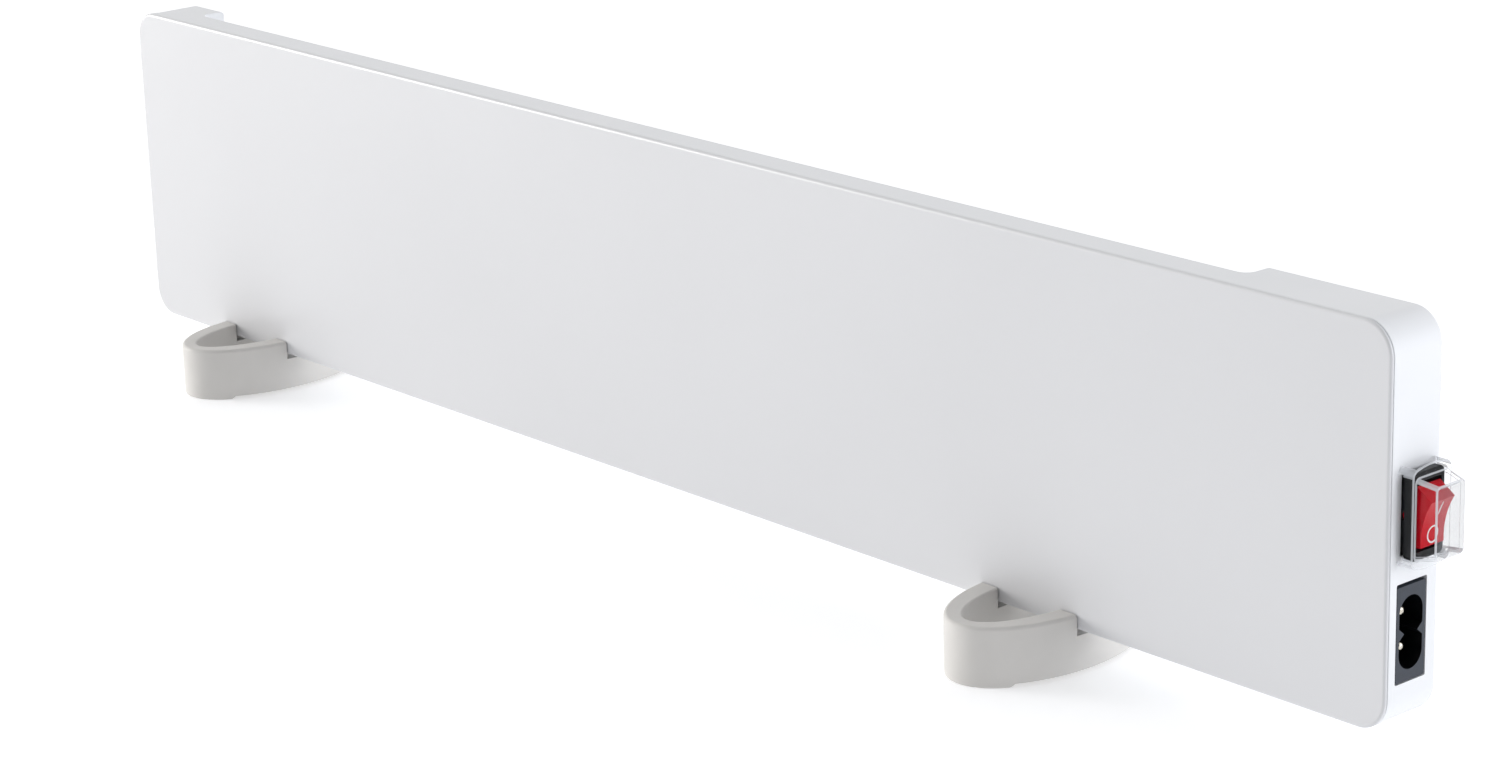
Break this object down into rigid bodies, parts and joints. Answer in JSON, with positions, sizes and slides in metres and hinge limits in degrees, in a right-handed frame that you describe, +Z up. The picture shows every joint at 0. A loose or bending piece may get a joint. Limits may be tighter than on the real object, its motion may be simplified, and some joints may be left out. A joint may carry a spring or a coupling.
{
  "type": "infrared panel heater",
  "caption": "Slim white infrared panel heater on clip-on ring feet, with a covered red rocker switch and a two-pin inlet on its end face.",
  "frame": {"origin": "middle of the whole object's footprint, on the floor under the feet", "axes": "+X along the panel to the switch end, +Y to the rear, +Z up; the radiant face looks along -Y"},
  "size_m": [0.5098, 0.0592, 0.1077],
  "materials": {
    "front_enamel": "smooth white powder coat on aluminium, satin gloss",
    "housing_plastic": "moulded white ABS, semi-gloss",
    "foot_grey": "moulded light warm grey ABS, satin",
    "switch_black": "moulded black nylon",
    "rocker_red": "moulded red polycarbonate with printed marks",
    "cover_clear": "clear soft PVC",
    "inlet_black": "moulded dark thermoset",
    "pin_nickel": "nickel-plated brass",
    "screw_steel": "zinc-plated steel",
    "terminal_brass": "plain brass",
    "film_carrier": "amber polyimide film",
    "track_metal": "etched resistance foil",
    "reflector_foil": "bright aluminium foil",
    "insulation": "pressed mineral fibre board",
    "cutout_case": "off-white moulded case",
    "sleeve_nylon": "blue nylon sleeve",
    "wire_brown": "brown silicone insulation",
    "wire_blue": "blue silicone insulation"
  },
  "bodies": {
    "heater": {"film_terminal_live": "terminal_brass", "film_terminal_neutral": "terminal_brass", "front_frame": "housing_plastic", "front_plate": "front_enamel", "heating_film": "film_carrier", "heating_track": "track_metal", "inlet_body": "inlet_black", "inlet_pin_live": "pin_nickel", "inlet_pin_neutral": "pin_nickel", "insulation_board": "insulation", "rear_housing": "housing_plastic", "rear_screw_1": "screw_steel", "rear_screw_2": "screw_steel", "rear_screw_3": "screw_steel", "rear_screw_4": "screw_steel", "rear_screw_5": "screw_steel", "rear_screw_6": "screw_steel", "reflector_foil": "reflector_foil", "sleeve_inlet_live": "sleeve_nylon", "sleeve_inlet_neutral": "sleeve_nylon", "sleeve_switch_lower": "sleeve_nylon", "sleeve_switch_upper": "sleeve_nylon", "splash_cover": "cover_clear", "standoff_1": "screw_steel", "standoff_2": "screw_steel", "standoff_3": "screw_steel", "standoff_4": "screw_steel", "standoff_5": "screw_steel", "standoff_6": "screw_steel", "switch_body": "switch_black", "switch_terminal_lower": "terminal_brass", "switch_terminal_upper": "terminal_brass", "thermal_cutout": "cutout_case", "wire_cutout_to_film": "wire_brown", "wire_inlet_to_switch": "wire_brown", "wire_neutral": "wire_blue", "wire_switch_to_cutout": "wire_brown"},
    "rocker": {"rocker": "rocker_red"},
    "left_foot": {"foot_left": "foot_grey"},
    "right_foot": {"foot_right": "foot_grey"}
  },
  "joints": [
    {"name": "rocker_tilt", "type": "hinge", "parent": "heater", "child": "rocker", "pos_m": [0.24625, 0.00475, 0.0629], "axis": [0, -1, 0], "range_deg": [0, 28]},
    {"name": "left_foot_slide", "type": "slide", "parent": "heater", "child": "left_foot", "axis": [1, 0, 0], "range_m": [-0.013, 0.175]},
    {"name": "right_foot_slide", "type": "slide", "parent": "heater", "child": "right_foot", "axis": [1, 0, 0], "range_m": [-0.118, 0.04]}
  ]
}
